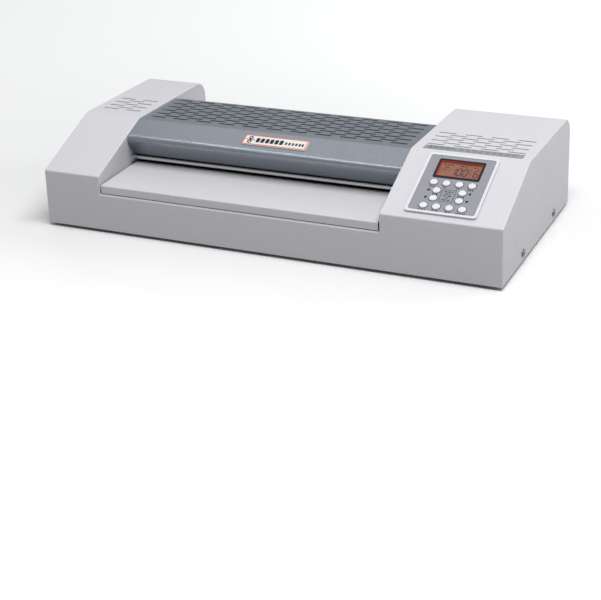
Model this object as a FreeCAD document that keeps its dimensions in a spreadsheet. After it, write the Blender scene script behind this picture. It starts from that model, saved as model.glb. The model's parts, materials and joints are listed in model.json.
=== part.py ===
"""Desktop pouch laminator, A3 class.

A sheet-metal case, a lift-over top cover, a four-roller heated drive and a key panel.
Frame: millimetres, X right, Y towards the back, Z up.
The origin is under the middle of the case, at the feet.
Every size comes from the sheet named Sizes.
Formulas are written with its plain aliases and bound by on_sheet().
"""

import FreeCAD, Part
import Sketcher
import math
import os
import re

V = FreeCAD.Vector
Turn = FreeCAD.Rotation

doc = FreeCAD.newDocument("PouchLaminator")
sizes = doc.addObject("Spreadsheet::Sheet", "Sizes")

DRIVING = [
    # case
    ("case_half_width", 273, "half the width of the case"),
    ("case_half_depth", 132.5, "half the depth of the case"),
    ("foot_height", 4, "height of a rubber foot"),
    ("front_height", 68, "top of the front face"),
    ("fold_y", -34.5, "where the sloping front meets the flat top"),
    ("case_height", 109, "flat top of the case"),
    ("sheet", 1.5, "thickness of the case sheet"),
    ("cover_sheet", 1.2, "thickness of the top cover sheet"),
    ("pod_left", -201, "inner face of the left pod"),
    ("pod_right", 139, "inner face of the right pod"),
    ("band_height", 47.1, "top of the front band under the feed table"),
    ("rear_radius", 20.5, "bend at the top rear of the case"),
    ("fold_radius", 8, "bend where the slope meets the top"),
    ("front_radius", 2, "bend at the top of the front face"),
    ("corner_radius", 1.2, "folded edges at the ends of the case and of the pods"),
    ("band_edge_radius", 2, "front and rear top edges of the band under the tables"),
    ("window_front", -46, "front of the openings in the inner pod walls"),
    ("window_rear", 56, "rear of the openings in the inner pod walls"),
    ("window_front_top", 100.2, "top of the openings where the cover slopes down"),
    ("window_top", 105.9, "top of the openings in the inner pod walls"),
    ("lip", 8, "width of the turned-in edge on the front band"),
    # vent slots
    ("slot_length", 20.4, "length of a vent slot"),
    ("slot_width", 2.5, "width of a vent slot in the case"),
    ("cover_slot_width", 3.4, "width of a vent slot in the top cover"),
    ("slot_pitch", 30.4, "slot pitch along X"),
    ("row_pitch", 13.6, "slot pitch along Y"),
    # top cover
    ("cover_left", -200.5, "left end of the top cover"),
    ("cover_right", 138.5, "right end of the top cover"),
    ("cover_height", 107, "flat top of the cover"),
    ("nose_y", -68.5, "front corner of the cover"),
    ("nose_z", 93.5, "height of that corner"),
    ("nose_foot_y", -52, "lower edge of the cover's front"),
    ("nose_foot_z", 70, "height of that edge"),
    ("cover_fold_y", -32.4, "where the cover's slope meets its flat top"),
    ("cover_rear_y", 61, "where the cover turns down at the rear"),
    ("cover_tail_y", 72, "lower rear edge of the cover"),
    ("cover_tail_z", 68, "height of that edge"),
    # tables
    ("table_left", -199.4, "left edge of both tables"),
    ("table_right", 137.1, "right edge of both tables"),
    ("table_edge_z", 57.4, "table height at the front and rear of the case"),
    ("table_inner_z", 59.8, "table height beside the rollers"),
    ("feed_inner_y", -48, "inner end of the feed table"),
    ("exit_inner_y", 33, "inner end of the exit table"),
    ("table_lip", 9.3, "height of a table's outer lip"),
    ("table_setback", 1.6, "how far a table's lip stands behind the face of the band"),
    ("rod_radius", 2.3, "radius of the guide rod"),
    ("table_edge_radius", 1.5, "bend at a table's outer edge"),
    # rollers
    ("front_pair_y", -32, "front pair of rollers"),
    ("rear_pair_y", 16, "rear pair of rollers"),
    ("lower_z", 47, "axis of the lower rollers"),
    ("upper_z", 75, "axis of the upper rollers"),
    ("sleeve_radius", 13.8, "silicone sleeve"),
    ("core_radius", 11, "steel roller core"),
    ("journal_radius", 7, "journal of a roller core"),
    ("core_bore_radius", 4.5, "bore through a roller core"),
    ("running_gap", 0.04, "radial clearance of a journal in its bush"),
    ("lamp_radius", 3.5, "heater lamp"),
    ("gear_module", 1, "module of the gear train"),
    ("roller_teeth", 28, "teeth on a roller gear"),
    ("idler_teeth", 20, "teeth on the idler gear"),
    ("pinion_teeth", 14, "teeth on the motor pinion"),
    ("flank_relief", 0.15, "taken off each tooth's thickness for backlash"),
    ("gear_left", -216, "outer face of the gears"),
    ("gear_width", 7.5, "face width of the gears"),
    ("pinion_angle", -20, "direction of the pinion from the rear lower roller, degrees"),
    ("idler_y", -8, "axis of the idler gear"),
    # side frames
    ("frame_sheet", 2, "thickness of a side frame"),
    ("frame_left", -204, "inner face of the left side frame"),
    ("frame_right", 142, "inner face of the right side frame"),
    ("frame_front", -50, "front edge of the side frames"),
    ("frame_rear", 60, "rear edge of the side frames"),
    ("bush_size", 20, "width and height of a bush block"),
    ("bush_width", 6, "length of a bush block along X"),
    ("spring_radius", 2.5, "mean radius of a pressure spring"),
    ("spring_wire", 0.5, "radius of the spring wire"),
    # panel
    ("panel_x", 203, "centre of the control panel"),
    ("bezel_width", 78, "width of the panel bezel"),
    ("bezel_low", 8.2, "lower edge of the bezel, measured up the slope"),
    ("bezel_high", 100.6, "upper edge of the bezel, measured up the slope"),
    ("panel_inset", 3.2, "how far the bezel overlaps the hole in the case, up and down the slope"),
    ("bezel_rise", 2.4, "height of the bezel above the sheet"),
    ("bezel_floor", 1.3, "thickness of the bezel under the fascia"),
    ("fascia_width", 72, "width of the fascia"),
    ("fascia_low", 11.4, "lower edge of the fascia"),
    ("fascia_high", 97.3, "upper edge of the fascia"),
    ("fascia_sheet", 0.7, "thickness of the fascia"),
    ("window_x", 203.35, "centre of the display window"),
    ("window_width", 49.1, "width of the display window"),
    ("window_low", 64.6, "lower edge of the display window"),
    ("window_high", 91.5, "upper edge of the display window"),
    ("button_radius", 4.25, "radius of a button"),
    ("button_gap", 0.3, "radial gap round a button"),
    ("button_top", 3.3, "height of a button above the sheet"),
    ("button_travel", 0.8, "travel of a button"),
    # rear fittings
    ("inlet_x", 232, "centre of the mains inlet"),
    ("inlet_z", 34, "height of the mains inlet"),
    ("switch_x", 190, "centre of the mains switch"),
]

ALIASES = set()
for row, (alias, size, meaning) in enumerate(DRIVING, 1):
    sizes.set(f"A{row}", meaning)
    sizes.set(f"B{row}", str(size))
    sizes.setAlias(f"B{row}", alias)
    ALIASES.add(alias)
doc.recompute()


def on_sheet(formula):
    """A formula in plain aliases as FreeCAD binds it, such as sheet*2 as Sizes.sheet*2."""
    def bound(found):
        word = found.group()
        return "Sizes." + word if word in ALIASES else word

    return re.sub(r"[a-z][a-z_]*", bound, str(formula))


def of_sheet(formula):
    """The value of a formula in plain aliases."""
    return float(sizes.evalExpression(on_sheet(formula)))


# the slope of the case front: its angle, and the directions up it and out of it
SLOPE = "atan((case_height-front_height)/(fold_y+case_half_depth))"
COVER_SLOPE = "atan((cover_height-nose_z)/(cover_fold_y-nose_y))"


# ------------------------------------------------------------------ building blocks

def drive(thing, **formulas):
    """Binds properties of an object, written with __ for a dot, to formulas on the sheet."""
    for path, formula in formulas.items():
        thing.setExpression(path.replace("__", "."), on_sheet(formula))
    return thing


def put(thing, x="0", y="0", z="0"):
    """Places an object at formulas on the sheet."""
    return drive(thing, Placement__Base__x=x, Placement__Base__y=y, Placement__Base__z=z)


def box(name, x, y, z):
    """A block between limits, each a (low, high) pair of formulas."""
    block = doc.addObject("Part::Box", name)
    drive(block, Length=f"({x[1]})-({x[0]})", Width=f"({y[1]})-({y[0]})", Height=f"({z[1]})-({z[0]})")
    return put(block, x[0], y[0], z[0])


DIRECTIONS = {
    "x": Turn(V(0, 1, 0), 90),
    "y": Turn(V(1, 0, 0), -90),
    "z": Turn(),
}


def rod(name, along, radius, start, length):
    """A cylinder from a start point along one axis; start is three formulas."""
    bar = doc.addObject("Part::Cylinder", name)
    drive(bar, Radius=radius, Height=length)
    bar.Placement = FreeCAD.Placement(V(), DIRECTIONS[along])
    return put(bar, *start)


def fuse(name, pieces):
    """Several solids joined into one, or kept as separate identical pieces of one named part."""
    if len(pieces) == 1:
        return pieces[0]
    joined = doc.addObject("Part::MultiFuse", name)
    joined.Shapes = pieces
    joined.Refine = True
    return joined


def cut(name, base, tools):
    """A solid with others taken out of it."""
    taken = doc.addObject("Part::Cut", name)
    taken.Base = base
    taken.Tool = fuse(name + "_tools", tools)
    taken.Refine = True
    return taken


def together(name, pieces):
    """Identical loose pieces that share one name."""
    group = doc.addObject("Part::Compound", name)
    group.Links = pieces
    return group


def rounded(name, base, radius, chosen):
    """Fillets the edges of a finished solid picked by a test on the edge."""
    doc.recompute()
    soft = doc.addObject("Part::Fillet", name)
    soft.Base = base
    r = of_sheet(radius)
    soft.Edges = [(i, r, r) for i, e in enumerate(base.Shape.Edges, 1) if chosen(e)]
    return soft


def on_slope(thing, v="0", x="0"):
    """Seats a part drawn flat (X, up the slope, outwards) on the sloping front of the case."""
    thing.Placement = FreeCAD.Placement(V(), Turn(V(1, 0, 0), 1))
    drive(thing, Placement__Rotation__Angle=SLOPE)
    return put(thing, x, f"-case_half_depth+({v})*cos({SLOPE})", f"front_height+({v})*sin({SLOPE})")


def of_origin(body, role):
    """One plane or axis of a body's own origin."""
    return next(f for f in body.Origin.OriginFeatures if f.Role == role)


def polygon_sketch(body, name, plane, points, offset):
    """A closed outline of straight edges whose corners are formulas, offset along its plane's normal."""
    sketch = body.newObject("Sketcher::SketchObject", name)
    sketch.AttachmentSupport = [(of_origin(body, plane), "")]
    sketch.MapMode = "FlatFace"
    sketch.setExpression("AttachmentOffset.Base.z", on_sheet(offset))
    corners = [V(of_sheet(a), of_sheet(b), 0) for a, b in points]
    count = len(corners)
    sketch.addGeometry([Part.LineSegment(corners[i], corners[(i + 1) % count]) for i in range(count)], False)
    sketch.addConstraint([Sketcher.Constraint("Coincident", i, 2, (i + 1) % count, 1) for i in range(count)])
    for i, (a, b) in enumerate(points):
        for kind, formula in (("DistanceX", a), ("DistanceY", b)):
            number = sketch.addConstraint(Sketcher.Constraint(kind, i, 1, of_sheet(formula)))
            sketch.setExpression(f"Constraints[{number}]", on_sheet(formula))
    return sketch


def extruded_profile(name, points, left, right):
    """A body whose side outline (Y, Z) runs from left to right along X."""
    body = doc.addObject("PartDesign::Body", name)
    outline = polygon_sketch(body, name + "_outline", "YZ_Plane", points, left)
    pad = body.newObject("PartDesign::Pad", name + "_pad")
    pad.Profile = outline
    drive(pad, Length=f"({right})-({left})")
    doc.recompute()
    return body


def bend(body, name, radius, chosen):
    """Rounds the body's edges picked by a test on the edge."""
    last = body.Tip
    soft = body.newObject("PartDesign::Fillet", name)
    edges = [f"Edge{i}" for i, e in enumerate(last.Shape.Edges, 1) if chosen(e)]
    soft.Base = (last, edges)
    drive(soft, Radius=radius)
    doc.recompute()
    return soft


def take_body(body, name, other):
    """Removes another body's solid from a body."""
    taken = body.newObject("PartDesign::Boolean", name)
    taken.Type = "Cut"
    taken.setObjects([other])
    doc.recompute()
    return taken


def hollow(body, name, wall, opened):
    """Turns the body into sheet of one thickness, open at the faces picked."""
    last = body.Tip
    shell = body.newObject("PartDesign::Thickness", name)
    shell.Base = (last, [f"Face{i}" for i, f in enumerate(last.Shape.Faces, 1) if opened(f)])
    shell.Reversed = True
    drive(shell, Value=wall)
    doc.recompute()
    return shell


def take_box(body, name, x, y, z):
    """Removes a block from a body."""
    block = body.newObject("PartDesign::SubtractiveBox", name)
    drive(block, Length=f"({x[1]})-({x[0]})", Width=f"({y[1]})-({y[0]})", Height=f"({z[1]})-({z[0]})")
    put(block, x[0], y[0], z[0])
    doc.recompute()
    return block


def add_box(body, name, x, y, z):
    """Adds a block to a body."""
    block = body.newObject("PartDesign::AdditiveBox", name)
    drive(block, Length=f"({x[1]})-({x[0]})", Width=f"({y[1]})-({y[0]})", Height=f"({z[1]})-({z[0]})")
    put(block, x[0], y[0], z[0])
    doc.recompute()
    return block


def take_round(body, name, along, radius, start, length):
    """Removes a cylinder from a body."""
    drill = body.newObject("PartDesign::SubtractiveCylinder", name)
    drive(drill, Radius=radius, Height=length)
    drill.Placement = FreeCAD.Placement(V(), DIRECTIONS[along])
    put(drill, *start)
    doc.recompute()
    return drill


def vent_slots(body, name, x, y, columns, rows, top, width="slot_width"):
    """A grid of round-ended slots cut down through a flat top; x and y are the middle of the first slot."""
    sketch = body.newObject("Sketcher::SketchObject", name + "_outline")
    sketch.AttachmentSupport = [(of_origin(body, "XY_Plane"), "")]
    sketch.MapMode = "FlatFace"
    sketch.setExpression("AttachmentOffset.Base.z", on_sheet(top))
    r = of_sheet(f"{width}/2")
    a = of_sheet(x) - of_sheet("slot_length/2") + r
    b = of_sheet(x) + of_sheet("slot_length/2") - r
    c = of_sheet(y)
    up = V(0, 0, 1)
    sketch.addGeometry([
        Part.ArcOfCircle(Part.Circle(V(a, c, 0), up, r), math.pi / 2, 3 * math.pi / 2),
        Part.ArcOfCircle(Part.Circle(V(b, c, 0), up, r), -math.pi / 2, math.pi / 2),
        Part.LineSegment(V(a, c - r, 0), V(b, c - r, 0)),
        Part.LineSegment(V(b, c + r, 0), V(a, c + r, 0)),
    ], False)
    sketch.addConstraint([
        Sketcher.Constraint("Tangent", 0, 2, 2, 1),
        Sketcher.Constraint("Tangent", 2, 2, 1, 1),
        Sketcher.Constraint("Tangent", 1, 2, 3, 1),
        Sketcher.Constraint("Tangent", 3, 2, 0, 1),
    ])
    ends = (
        ("DistanceX", 0, f"({x})-slot_length/2+{width}/2"),
        ("DistanceY", 0, y),
        ("DistanceX", 1, f"({x})+slot_length/2-{width}/2"),
        ("DistanceY", 1, y),
    )
    for kind, arc, formula in ends[:3]:
        number = sketch.addConstraint(Sketcher.Constraint(kind, arc, 3, of_sheet(formula)))
        sketch.setExpression(f"Constraints[{number}]", on_sheet(formula))
    number = sketch.addConstraint(Sketcher.Constraint("Radius", 0, r))
    sketch.setExpression(f"Constraints[{number}]", on_sheet(f"{width}/2"))
    pocket = body.newObject("PartDesign::Pocket", name + "_slot")
    pocket.Profile = sketch
    pocket.Length = 5
    doc.recompute()
    steps = []
    for axis, count, pitch in (("X_Axis", columns, "slot_pitch"), ("Y_Axis", rows, "row_pitch")):
        if count > 1:
            step = doc.addObject("PartDesign::LinearPattern", f"{name}_{axis[0].lower()}")
            step.Direction = (of_origin(body, axis), [""])
            drive(step, Length=f"{pitch}*{count - 1}")
            step.Occurrences = count
            steps.append(step)
    grid = body.newObject("PartDesign::MultiTransform", name + "_grid")
    grid.Originals = [pocket]
    grid.Transformations = steps
    body.Tip = grid
    doc.recompute()
    return grid


def middle_near(edge, y=None, z=None, x=None, slack=0.6):
    """True for an edge whose middle lies at the given coordinates."""
    c = edge.CenterOfMass
    pairs = ((x, c.x), (y, c.y), (z, c.z))
    return all(want is None or abs(want - got) < slack for want, got in pairs)


def runs_along_x(edge):
    """True for a straight edge parallel to X."""
    box_of = edge.BoundBox
    return box_of.YLength < 1e-6 and box_of.ZLength < 1e-6


NODES = {}


def node(name, thing):
    """Records an object as one named part of the assembly."""
    thing.Label = name
    NODES[name] = thing
    return thing


# ------------------------------------------------------------------ main cover

cover = extruded_profile("MainCover", [
    ("-case_half_depth", "foot_height"),
    ("case_half_depth", "foot_height"),
    ("case_half_depth", "case_height"),
    ("fold_y", "case_height"),
    ("-case_half_depth", "front_height"),
], "-case_half_width", "case_half_width")

FOLD_Y = of_sheet("fold_y")
TOP_Z = of_sheet("case_height")
HALF_DEPTH = of_sheet("case_half_depth")
HALF_WIDTH = of_sheet("case_half_width")
FRONT_Z = of_sheet("front_height")
bend(cover, "CaseFold", "fold_radius", lambda e: runs_along_x(e) and middle_near(e, y=FOLD_Y, z=TOP_Z))
bend(cover, "CaseRear", "rear_radius", lambda e: runs_along_x(e) and middle_near(e, y=HALF_DEPTH, z=TOP_Z))
bend(
    cover, "CaseFront", "front_radius",
    lambda e: runs_along_x(e) and middle_near(e, y=-HALF_DEPTH, z=FRONT_Z)
)
take_box(cover, "Notch", ("pod_left", "pod_right"), ("-case_half_depth-5", "case_half_depth+5"),
         ("band_height", "case_height+5"))

BAND_Z = of_sheet("band_height")
OUTLINES = [of_sheet(x) for x in ("-case_half_width", "case_half_width", "pod_left", "pod_right")]


def on_outline(edge, ends):
    """True for an edge of the side outline, at one of the given ends, clear of the bottom and the band."""
    limits = edge.BoundBox
    low = BAND_Z if ends == OUTLINES[2:] else of_sheet("foot_height")
    at_end = any(abs(limits.XMin - x) < 0.01 for x in ends)
    return at_end and limits.XLength < 1e-6 and limits.ZMax > low + 0.1


def on_band_fold(edge):
    """True for an edge along the front or the back of the band's flat top."""
    spot = edge.CenterOfMass
    return runs_along_x(edge) and abs(spot.z - BAND_Z) < 0.1 and abs(abs(spot.y) - HALF_DEPTH) < 0.1


bend(cover, "EndEdges", "corner_radius", lambda e: on_outline(e, OUTLINES[:2]))
bend(cover, "BandEdges", "band_edge_radius", on_band_fold)
bend(cover, "PodEdges", "corner_radius", lambda e: on_outline(e, OUTLINES[2:]))

INNER_FRONT_Z = f"front_height+sheet*tan({SLOPE})-sheet/cos({SLOPE})"
INNER_FOLD_Y = f"-case_half_depth+(case_height-sheet-front_height+sheet/cos({SLOPE}))/tan({SLOPE})"
room = extruded_profile("CaseRoom", [
    ("-case_half_depth+sheet", "foot_height-1"),
    ("case_half_depth-sheet", "foot_height-1"),
    ("case_half_depth-sheet", "case_height-sheet"),
    (INNER_FOLD_Y, "case_height-sheet"),
    ("-case_half_depth+sheet", INNER_FRONT_Z),
], "-case_half_width+sheet", "case_half_width-sheet")
ROOM_BENDS = (
    ("RoomFold", "fold_radius-sheet", INNER_FOLD_Y, "case_height-sheet"),
    ("RoomRear", "rear_radius-sheet", "case_half_depth-sheet", "case_height-sheet"),
    ("RoomFront", "front_radius-sheet", "-case_half_depth+sheet", INNER_FRONT_Z),
)
for name, radius, y, z in ROOM_BENDS:
    at_y = of_sheet(y)
    at_z = of_sheet(z)
    bend(room, name, radius, lambda e: runs_along_x(e) and middle_near(e, y=at_y, z=at_z))
take_box(room, "RoomNotch", ("pod_left-sheet", "pod_right+sheet"), ("-case_half_depth", "case_half_depth"),
         ("band_height+1", "case_height"))
take_body(cover, "CaseSheet", room)
for side, x in (
    ("Left", ("pod_left-sheet-1", "pod_left+1")), ("Right", ("pod_right-1", "pod_right+sheet+1"))
):
    take_box(
        cover, f"Window{side}", x, ("window_front", "window_rear"), ("band_height-5", "window_front_top")
    )
    take_box(
        cover, f"WindowTop{side}", x, ("cover_fold_y", "window_rear"), ("window_front_top-1", "window_top")
    )
for end, y in (("Front", ("-case_half_depth+sheet/2", "-case_half_depth+lip")),
               ("Rear", ("case_half_depth-lip", "case_half_depth-sheet/2"))):
    add_box(
        cover, f"BandEdge{end}", ("pod_left-sheet/2", "pod_right+sheet/2"), y,
        ("band_height-sheet", "band_height")
    )

vent_slots(cover, "LeftVentsA", "-252.2", "-12.4", 2, 4, "case_height")
vent_slots(cover, "LeftVentsB", "-252.2+slot_pitch/2", "-12.4+row_pitch/2", 1, 3, "case_height")
vent_slots(cover, "RightVentsA", "160.7", "-14.4", 4, 4, "case_height")
vent_slots(cover, "RightVentsB", "160.7+slot_pitch/2", "-14.4+row_pitch/2", 3, 3, "case_height")

panel_hole = cover.newObject("PartDesign::SubtractiveBox", "PanelHole")
drive(panel_hole, Length="bezel_width-8", Width="bezel_high-bezel_low-2*panel_inset", Height="10")
panel_hole.Placement = FreeCAD.Placement(V(), Turn(V(1, 0, 0), 1))
drive(panel_hole, Placement__Rotation__Angle=SLOPE)
put(panel_hole, "panel_x-bezel_width/2+4",
    f"-case_half_depth+(bezel_low+panel_inset)*cos({SLOPE})+5*sin({SLOPE})",
    f"front_height+(bezel_low+panel_inset)*sin({SLOPE})-5*cos({SLOPE})")
doc.recompute()

take_box(cover, "InletHole", ("inlet_x-13.6", "inlet_x+13.6"), ("case_half_depth-4", "case_half_depth+4"),
         ("inlet_z-15.6", "inlet_z+15.6"))
take_box(cover, "SwitchHole", ("switch_x-8", "switch_x+8"), ("case_half_depth-4", "case_half_depth+4"),
         ("inlet_z-12", "inlet_z+12"))

SCREW_SPOTS = [("-58", "13.5"), ("66", "13.5")]
for i, (y, z) in enumerate(SCREW_SPOTS):
    take_round(cover, f"ScrewHole{i}", "x", "2", ("-case_half_width-5", y, z), "case_half_width*2+10")
node("main_cover", cover)


# ------------------------------------------------------------------ top cover

lid = extruded_profile("TopCover", [
    ("nose_foot_y", "nose_foot_z"),
    ("cover_tail_y", "cover_tail_z"),
    ("cover_rear_y", "cover_height"),
    ("cover_fold_y", "cover_height"),
    ("nose_y", "nose_z"),
], "cover_left", "cover_right")
LID_BENDS = (
    ("LidNose", "6.5", "nose_y", "nose_z"),
    ("LidFold", "fold_radius", "cover_fold_y", "cover_height"),
    ("LidRear", "10", "cover_rear_y", "cover_height"),
)
for name, radius, y, z in LID_BENDS:
    at_y = of_sheet(y)
    at_z = of_sheet(z)
    bend(lid, name, radius, lambda e: runs_along_x(e) and middle_near(e, y=at_y, z=at_z))
LID_LOW = max(of_sheet("nose_foot_z"), of_sheet("cover_tail_z"))
hollow(
    lid, "LidSheet", "cover_sheet", lambda f: f.BoundBox.XLength < 1e-6 or f.BoundBox.ZMax < LID_LOW + 0.01
)
vent_slots(lid, "LidVentsA", "-184.5", "-19", 11, 6, "cover_height", "cover_slot_width")
vent_slots(
    lid, "LidVentsB", "-184.5+slot_pitch/2", "-19+row_pitch/2", 10, 5, "cover_height", "cover_slot_width"
)
node("top_cover", lid)


# ------------------------------------------------------------------ feed and exit tables

def table(name, outer_y, inner_y, way, leg_end):
    """A folded sheet table with an outer lip, a turned-down inner edge and legs on the base plate."""
    body = extruded_profile(name, [
        (outer_y, "table_edge_z-table_lip"),
        (f"({outer_y})+{way}*sheet", "table_edge_z-table_lip"),
        (f"({outer_y})+{way}*sheet", "table_edge_z-sheet"),
        (f"({inner_y})-{way}*cover_sheet", "table_inner_z-sheet"),
        (f"({inner_y})-{way}*cover_sheet", "table_inner_z-7"),
        (inner_y, "table_inner_z-7"),
        (inner_y, "table_inner_z"),
        (outer_y, "table_edge_z"),
    ], "table_left", "table_right")
    at_y = of_sheet(outer_y)
    at_z = of_sheet("table_edge_z")
    bend(
        body, name + "Edge", "table_edge_radius",
        lambda e: runs_along_x(e) and middle_near(e, y=at_y, z=at_z)
    )
    for side, x in (
        ("A", ("table_left+6", "table_left+6+sheet")), ("B", ("table_right-6-sheet", "table_right-6"))
    ):
        low, high = sorted((f"({outer_y})+{way}*14", leg_end), key=of_sheet)
        add_box(body, f"{name}Leg{side}", x, (low, high), ("foot_height+sheet", "table_edge_z-sheet/2"))
    return body


node("feed_table", table("FeedTable", "-case_half_depth+table_setback", "feed_inner_y", 1, "feed_inner_y-8"))
node("exit_table", table("ExitTable", "case_half_depth-table_setback", "exit_inner_y", -1, "frame_rear+2"))

ROD_Y = "-52"
ROD_Z = "66.4"
guide_bar = rod("GuideBar", "x", "rod_radius", ("pod_left", ROD_Y, ROD_Z), "pod_right-pod_left")
node("guide_rod", guide_bar)

clips = []
for side, inner, way in (("Left", "pod_left", 1), ("Right", "pod_right", -1)):
    across = sorted((inner, f"({inner})+{way}*3"), key=of_sheet)
    head = sorted((f"({inner})+{way}*3", f"({inner})+{way}*3.8"), key=of_sheet)
    solid = fuse(f"ClipSolid{side}", [
        box(f"ClipBlock{side}", across, (f"{ROD_Y}-6.6", f"{ROD_Y}+3.2"), (f"{ROD_Z}-3.6", f"{ROD_Z}+3.2")),
        rod(f"ClipScrew{side}", "x", "1.6", (head[0], f"{ROD_Y}-4.5", ROD_Z), "0.8"),
    ])
    bore = rod(f"ClipBore{side}", "x", "rod_radius", (f"({across[0]})-1", ROD_Y, ROD_Z), "8")
    clips.append(cut(f"Clip{side}", solid, [bore]))
node("rod_clips", together("RodClips", clips))


# ------------------------------------------------------------------ base plate, feet and case screws

floor = box("Floor", ("-case_half_width+sheet", "case_half_width-sheet"),
            ("-case_half_depth+sheet+0.2", "case_half_depth-sheet-0.2"), ("foot_height", "foot_height+sheet"))
base_sides = [
    box(
        "FloorSideLeft", ("-case_half_width+sheet", "-case_half_width+2*sheet"), ("-90", "98"),
        ("foot_height", "22")
    ),
    box(
        "FloorSideRight", ("case_half_width-2*sheet", "case_half_width-sheet"), ("-90", "98"),
        ("foot_height", "22")
    ),
]
floor_holes = []
for i in range(12):
    for j, y in enumerate(("-34", "-6", "22")):
        floor_holes.append(
            box(f"FloorVent{i}_{j}", (f"-183+{i * 27}", f"-183+{i * 27}+14"), (y, f"{y}+3"), ("0", "10"))
        )
for i, (y, z) in enumerate(SCREW_SPOTS):
    floor_holes.append(
        rod(f"FloorScrewHole{i}", "x", "1.5", ("-case_half_width-5", y, z), "case_half_width*2+10")
    )
FEET = [("-248", "-108"), ("248", "-108"), ("-248", "108"), ("248", "108")]
for i, (x, y) in enumerate(FEET):
    floor_holes.append(rod(f"FootHole{i}", "z", "3", (x, y, "0"), "20"))
base_plate = cut("BasePlate", fuse("BaseSolid", [floor] + base_sides), floor_holes)
node("base_plate", base_plate)

feet = []
for i, (x, y) in enumerate(FEET):
    pad = doc.addObject("Part::Cone", f"FootPad{i}")
    drive(pad, Radius1="8.5", Radius2="10", Height="foot_height")
    put(pad, x, y, "0")
    plug = rod(f"FootPlug{i}", "z", "3", (x, y, "foot_height"), "sheet+2")
    feet.append(fuse(f"Foot{i}", [pad, plug]))
node("rubber_feet", together("RubberFeet", feet))

screws = []
for side, sign in (("L", -1), ("R", 1)):
    for i, (y, z) in enumerate(SCREW_SPOTS):
        head_start = "-case_half_width-1.6" if sign < 0 else "case_half_width"
        shank_start = "-case_half_width" if sign < 0 else "case_half_width-7"
        head = rod(f"ScrewHead{side}{i}", "x", "4", (head_start, y, z), "1.6")
        shank = rod(f"ScrewShank{side}{i}", "x", "1.5", (shank_start, y, z), "7")
        face = f"{sign}*case_half_width+{sign}*1.6"
        slot_x = (f"{face}-0.8", f"{face}+0.8")
        across = box(f"ScrewSlotA{side}{i}", slot_x, (f"{y}-2.3", f"{y}+2.3"), (f"{z}-0.45", f"{z}+0.45"))
        upright = box(f"ScrewSlotB{side}{i}", slot_x, (f"{y}-0.45", f"{y}+0.45"), (f"{z}-2.3", f"{z}+2.3"))
        screws.append(
            cut(f"CoverScrew{side}{i}", fuse(f"ScrewSolid{side}{i}", [head, shank]), [across, upright])
        )
node("cover_screws", together("CoverScrews", screws))


# ------------------------------------------------------------------ side frames and tie bars

PAIRS = ("front_pair_y", "rear_pair_y")
SLOT_TOP = "upper_z+bush_size/2+11"


def side_frame(name, inner, inward):
    """A plate with a slot for each pair of bushes, and flanges under the cover and on the base plate."""
    outer = f"({inner})-{inward}*frame_sheet"
    plate_x = sorted((inner, outer), key=of_sheet)
    flange_x = sorted((outer, f"({inner})+{inward}*14"), key=of_sheet)
    foot_x = sorted((inner, f"({inner})-{inward}*9"), key=of_sheet)
    top = "cover_height-cover_sheet"
    pieces = [
        extruded_profile(name + "Plate", [
            ("frame_front", "foot_height+sheet"),
            ("frame_rear", "foot_height+sheet"),
            ("frame_rear", top),
            ("cover_fold_y", top),
            ("frame_front", f"{top}-9"),
        ], *plate_x),
        box(name + "Top", flange_x, ("cover_fold_y+4", "window_rear-4"), (f"{top}-1.2", top)),
        box(
            name + "FootFront", foot_x, ("frame_front", "frame_front+16"),
            ("foot_height+sheet", "foot_height+sheet+2")
        ),
        box(
            name + "FootRear", foot_x, ("frame_rear-16", "frame_rear"),
            ("foot_height+sheet", "foot_height+sheet+2")
        ),
    ]
    away = (f"({plate_x[0]})-1", f"({plate_x[1]})+1")
    holes = [
        box(f"{name}Slot{i}", away, (f"{y}-bush_size/2", f"{y}+bush_size/2"), ("lower_z-bush_size/2", SLOT_TOP))
        for i, y in enumerate(PAIRS)
    ]
    return cut(name, fuse(name + "Solid", pieces), holes)


node("side_frame_left", side_frame("SideFrameLeft", "frame_left", 1))
node("side_frame_right", side_frame("SideFrameRight", "frame_right", -1))

TIE_SPOTS = [("-42", "96.3"), ("48", "96.3"), ("-40", "23.5"), ("50", "23.5")]
ties = [
    rod(f"Tie{i}", "x", "3.5", ("frame_left", y, z), "frame_right-frame_left") for i,
    (y, z) in enumerate(TIE_SPOTS)
]
node("tie_bars", together("TieBars", ties))


# ------------------------------------------------------------------ rollers, bushes, springs, lamps

ROLLERS = {
    "front_lower": ("front_pair_y", "lower_z"),
    "front_upper": ("front_pair_y", "upper_z"),
    "rear_lower": ("rear_pair_y", "lower_z"),
    "rear_upper": ("rear_pair_y", "upper_z"),
}
CORE_LEFT = "cover_left+0.5"
CORE_RIGHT = "cover_right-0.5"

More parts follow.
